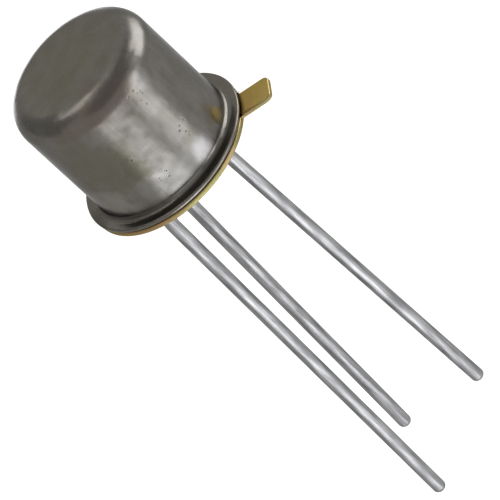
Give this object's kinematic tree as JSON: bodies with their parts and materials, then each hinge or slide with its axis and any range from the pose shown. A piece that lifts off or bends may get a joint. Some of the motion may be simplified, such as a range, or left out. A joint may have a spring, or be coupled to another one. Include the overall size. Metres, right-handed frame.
{
  "type": "pnp transistor",
  "caption": "Small transistor in a round metal can with a welded flange, gold-plated header with an index tab, and straight tinned wire leads for through-hole mounting.",
  "frame": {"origin": "centre of the seating plane, the underside of the header's flange", "axes": "+Z along the can's axis towards its closed end, +X along the index tab, leads towards -Z"},
  "size_m": [0.0065, 0.0056, 0.0193],
  "materials": {
    "nickel_can": "satin",
    "gold_plate": "satin",
    "tinned_wire": "satin",
    "seal_glass": "gloss",
    "gold_alloy": "satin",
    "silicon": "polished",
    "bond_gold": "polished"
  },
  "bodies": {
    "root": {"cap": "nickel_can", "header": "gold_plate", "glass_seal": "seal_glass", "emitter_lead": "tinned_wire", "base_lead": "tinned_wire", "collector_lead": "tinned_wire", "die_preform": "gold_alloy", "silicon_die": "silicon", "emitter_bond_wire": "bond_gold", "base_bond_wire": "bond_gold"}
  },
  "joints": []
}
